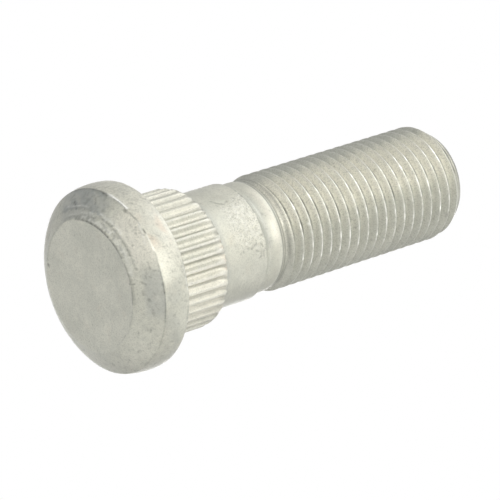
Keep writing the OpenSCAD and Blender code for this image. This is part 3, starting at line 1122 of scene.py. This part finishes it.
def spread(tree, value, low, high, to_low=0.0, to_high=1.0):
    """Stretch a value from one span to another, and hold it at the ends."""
    node = put(tree, "MapRange", Value=value)
    for label, number in (("From Min", low), ("From Max", high), ("To Min", to_low), ("To Max", to_high)):
        node.inputs[label].default_value = number
    return node.outputs["Result"]


def blend_colour(tree, amount, first, second):
    """Mix two colours, given as sockets or as numbers."""
    node = tree.nodes.new("ShaderNodeMix")
    node.data_type = "RGBA"
    sockets = {s.identifier: s for s in node.inputs}
    for key, value in (("Factor_Float", amount), ("A_Color", first), ("B_Color", second)):
        feed(tree, sockets[key], value)
    return next(s for s in node.outputs if s.identifier == "Result_Color")


def painted(tree, name):
    """The three masks that an attribute of the mesh holds."""
    attribute = put(tree, "Attribute", attribute_name=name)
    return put(tree, "SeparateColor", Color=attribute.outputs["Color"]).outputs[:3]


def fine_grain():
    """Crystals of the zinc: a height and a tone, both from 0 to 1."""
    tree, given, out = group(
        "fine_grain",
        [("Vector", "NodeSocketVector", None), ("Size", "NodeSocketFloat", 1.0)],
        ("Height", "Tone"),
    )
    at, size = given.outputs["Vector"], given.outputs["Size"]
    crystals = put(
        tree, "TexNoise", Vector=at, Scale=reckon(tree, "DIVIDE", CRYSTALS, size), Detail=4.0, Roughness=0.62
    )
    cells = put(tree, "TexVoronoi", Vector=at, Scale=reckon(tree, "DIVIDE", PITS, size))
    pits = reckon(tree, "MULTIPLY", spread(tree, cells.outputs["Distance"], 0.0, 0.55), 0.3)
    height = reckon(tree, "MULTIPLY_ADD", crystals.outputs["Fac"], 0.7, pits)
    tree.links.new(height, out.inputs["Height"])
    tree.links.new(spread(tree, height, 0.38, 0.66), out.inputs["Tone"])
    return tree


def cloudy_patches():
    """Broad faint clouds where the coating is thicker or thinner, mottle, specks and tarnish."""
    # Each kind's noise, and the values of it where its mask starts and is full
    kinds = {
        "Clouds": (dict(Scale=CLOUDS, Detail=6.0, Roughness=0.6, Distortion=0.4), 0.32, 0.68),
        "Mottle": (dict(Scale=MOTTLE, Detail=4.0, Roughness=0.6), 0.34, 0.66),
        "Specks": (dict(Scale=SPECKS, Detail=2.0, Roughness=0.5), 0.66, 0.76),
        "Tarnish": (dict(Scale=TARNISH, Detail=3.0, Roughness=0.55), 0.58, 0.78),
    }
    tree, given, out = group("cloudy_patches", [("Vector", "NodeSocketVector", None)], kinds)
    for label, (noise_values, low, high) in kinds.items():
        patches = put(tree, "TexNoise", Vector=given.outputs["Vector"], **noise_values)
        tree.links.new(spread(tree, patches.outputs["Fac"], low, high), out.inputs[label])
    return tree


def zinc_coating():
    """Pale dull zinc with a fine grain and clouds; bright on crests with rubbing and painted highlights,
    dark in its marks and in painted shade.
    """
    material, tree = new_material("pale_zinc_coating")
    out = tree.nodes.new("ShaderNodeOutputMaterial")
    skin = tree.nodes.new("ShaderNodeBsdfPrincipled")
    tree.links.new(skin.outputs["BSDF"], out.inputs["Surface"])
    at = put(tree, "TexCoord").outputs["Object"]
    # Rubbing also carries painted highlights, and staining painted shade
    rubbed_and_lit, stained_and_shaded, granular = painted(tree, "wear_and_light")
    # Pale and grey hold the coating's own tones and also painted light and painted shade
    pale, grey, rusty = painted(tree, "zinc")
    fine = place_group(tree, fine_grain(), Vector=at, Size=1.0).outputs
    clouds = place_group(tree, cloudy_patches(), Vector=at).outputs

    shade = reckon(tree, "MULTIPLY", reckon(tree, "SUBTRACT", 1.0, fine["Tone"]), granular)
    tone = blend_colour(tree, clouds["Clouds"], ZINC_THIN, ZINC_THICK)
    for mask, part, colour in (
        (clouds["Tarnish"], TARNISH_SHARE, ZINC_TARNISHED),
        (grey, None, GREY_ZINC_AND_SHADE),
        (pale, None, PALE_ZINC_AND_LIGHT),
        (clouds["Mottle"], MOTTLE_SHARE, ZINC_MOTTLED),
        (rusty, None, RUST_TINT),
        (shade, GRAIN_SHARE, GRAIN_SHADE),
        (clouds["Specks"], SPECK_SHARE, SPECK),
        (rubbed_and_lit, None, RUBBED_AND_HIGHLIGHT),
        (stained_and_shaded, None, STAIN_AND_SHADE_COLOUR),
    ):
        amount = reckon(tree, "MULTIPLY", mask, part) if part else mask
        tone = blend_colour(tree, amount, tone, colour)
    tree.links.new(tone, skin.inputs["Base Color"])

    # Where rubbing and painted highlights are strongest, the metal shows; thick zinc and these places are
    # the smoother
    tree.links.new(spread(tree, rubbed_and_lit, 0.45, 1.0, 0.25, 0.95), skin.inputs["Metallic"])
    rough = spread(tree, clouds["Clouds"], 0.0, 1.0, 0.46, 0.39)
    rough = reckon(tree, "MULTIPLY_ADD", granular, 0.06, rough)
    rough = reckon(tree, "MULTIPLY_ADD", rubbed_and_lit, -0.2, rough)
    tree.links.new(rough, skin.inputs["Roughness"])

    coarse = reckon(tree, "MULTIPLY_ADD", granular, 1.0, 0.15)
    height = reckon(tree, "MULTIPLY", fine["Height"], coarse)
    bump = put(tree, "Bump", Strength=GRAIN_BUMP, Distance=GRAIN_BUMP_HEIGHT * MM, Height=height)
    tree.links.new(bump.outputs["Normal"], skin.inputs["Normal"])
    return material


# ---------------------------------------------------------------- camera, floor and lights

# The camera's place, and the ways that are right and backward for it
CAMERA_AT = (1.386, -309.85, -220.869)
CAMERA_RIGHT = (0.3042, -0.5848, 0.752)
CAMERA_BACK = (0, -0.7894, -0.6139)
SENSOR_WIDTH = 36.0
LENS = 283.35
NEAREST_SEEN = 0.01
FARTHEST_SEEN = 20

# Softboxes round the stud: way out from its middle, brightness and tint
SOFTBOXES = {
    "front_softbox": ((-0.09, -0.93, -0.36), 5.0, (1.0, 0.99, 0.95)),
    "key_softbox": ((0.07, -0.97, 0.24), 2.8, (1.0, 0.98, 0.92)),
    "top_softbox": ((-0.47, -0.39, 0.79), 2.9, (0.97, 0.98, 1.0)),
    "low_left_softbox": ((0.16, 0.9, -0.41), 0.95, (1.0, 1.0, 1.0)),
    "low_softbox": ((0.68, 0.34, -0.65), 0.9, (1.0, 1.0, 0.98)),
    "right_softbox": ((0.67, -0.25, 0.7), 0.95, (1.0, 1.0, 0.98)),
    "left_softbox": ((-0.41, 0.03, -0.91), 0.9, (1.0, 1.0, 1.0)),
    "back_softbox": ((0.1, 0.79, 0.6), 3.0, (1.0, 0.99, 0.97)),
}
SOFTBOX_SIZE = 0.3
SOFTBOX_AWAY = 0.5

WHITE = (1, 1, 1, 1)
FILL_LIGHT = 0.06
FILL_TINT = (0.97, 0.98, 1, 1)

FLOOR_SIZE = 6
FLOOR_BELOW = 0.05
FLOOR_PAPER = (0.88, 0.88, 0.87, 1)
FLOOR_GLOW = 0.32


def add_camera():
    """The camera stands on the head's side and looks along the stud, from under its floor."""
    data = bpy.data.cameras.new("camera")
    data.sensor_width = SENSOR_WIDTH
    data.lens = LENS
    data.clip_start = NEAREST_SEEN
    data.clip_end = FARTHEST_SEEN
    camera = bpy.data.objects.new("camera", data)
    bpy.context.scene.collection.objects.link(camera)
    right = Vector(CAMERA_RIGHT).normalized()
    back = Vector(CAMERA_BACK)
    back = (back - right * back.dot(right)).normalized()
    turn = Matrix((right, back.cross(right), back)).transposed().to_4x4()
    camera.matrix_world = Matrix.Translation(Vector(CAMERA_AT) * MM) @ turn
    bpy.context.scene.camera = camera


def add_lights():
    """Softboxes of one size, each turned to the middle of the stud."""
    middle = Vector((0, 0, TIP_Z / 2 * MM))
    for name, (towards, brightness, tint) in SOFTBOXES.items():
        data = bpy.data.lights.new(name, "AREA")
        data.shape = "SQUARE"
        data.size = SOFTBOX_SIZE
        data.energy = brightness * math.pi * SOFTBOX_SIZE**2
        data.color = tint
        lamp = bpy.data.objects.new(name, data)
        bpy.context.scene.collection.objects.link(lamp)
        way = Vector(towards).normalized()
        lamp.location = middle + way * SOFTBOX_AWAY
        lamp.rotation_euler = way.to_track_quat("Z", "Y").to_euler()
        lamp.visible_camera = False


def add_world():
    """White to the camera and in gloss, and a faint even light on the object."""
    world = bpy.data.worlds.new("studio")
    bpy.context.scene.world = world
    world.use_nodes = True
    tree = world.node_tree
    tree.nodes.clear()
    ray = put(tree, "LightPath").outputs
    seen = reckon(tree, "MAXIMUM", ray["Is Camera Ray"], ray["Is Glossy Ray"])
    seen = reckon(tree, "MAXIMUM", seen, ray["Is Transmission Ray"])
    fill = put(tree, "Background", Color=FILL_TINT, Strength=FILL_LIGHT)
    white = put(tree, "Background", Color=WHITE, Strength=1.0)
    mix = put(tree, "MixShader", Fac=seen)
    tree.links.new(fill.outputs[0], mix.inputs[1])
    tree.links.new(white.outputs[0], mix.inputs[2])
    put(tree, "OutputWorld", Surface=mix.outputs[0])


def add_floor():
    """Pale floor under the head. Its lower side is clear, since the photograph is taken from there."""
    bpy.ops.object.select_all(action="DESELECT")
    bpy.ops.mesh.primitive_plane_add(size=FLOOR_SIZE, location=(0, 0, -FLOOR_BELOW * MM))
    floor = bpy.context.object
    floor.name = floor.data.name = "studio_floor"
    bpy.ops.object.transform_apply(location=True, rotation=True, scale=True)
    material, tree = new_material("floor_paper")
    paper = put(tree, "BsdfDiffuse", Color=FLOOR_PAPER)
    glow = put(tree, "Emission", Strength=FLOOR_GLOW)
    paler = tree.nodes.new("ShaderNodeAddShader")
    tree.links.new(paper.outputs[0], paler.inputs[0])
    tree.links.new(glow.outputs[0], paler.inputs[1])
    mix = put(tree, "MixShader", Fac=put(tree, "NewGeometry").outputs["Backfacing"])
    tree.links.new(paler.outputs[0], mix.inputs[1])
    tree.links.new(put(tree, "BsdfTransparent").outputs[0], mix.inputs[2])
    put(tree, "OutputMaterial", Surface=mix.outputs[0])
    floor.data.materials.append(material)
    # No light comes off it onto the stud, and it casts no shadow of its own
    floor.visible_diffuse = False
    floor.visible_glossy = False
    floor.visible_transmission = False
    floor.visible_shadow = False


# ---------------------------------------------------------------- the scene

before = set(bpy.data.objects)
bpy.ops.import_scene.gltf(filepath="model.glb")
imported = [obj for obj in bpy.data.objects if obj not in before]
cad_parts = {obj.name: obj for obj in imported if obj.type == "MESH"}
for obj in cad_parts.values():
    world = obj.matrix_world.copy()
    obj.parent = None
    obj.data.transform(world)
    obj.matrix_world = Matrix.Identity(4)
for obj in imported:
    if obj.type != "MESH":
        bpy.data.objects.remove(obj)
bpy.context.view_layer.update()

add_camera()
stud = make_stud()
stud.data.materials.clear()
stud.data.materials.append(zinc_coating())
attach(stud, "root")
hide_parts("stud")

add_floor()
add_lights()
add_world()
bpy.context.scene.view_settings.view_transform = "Standard"
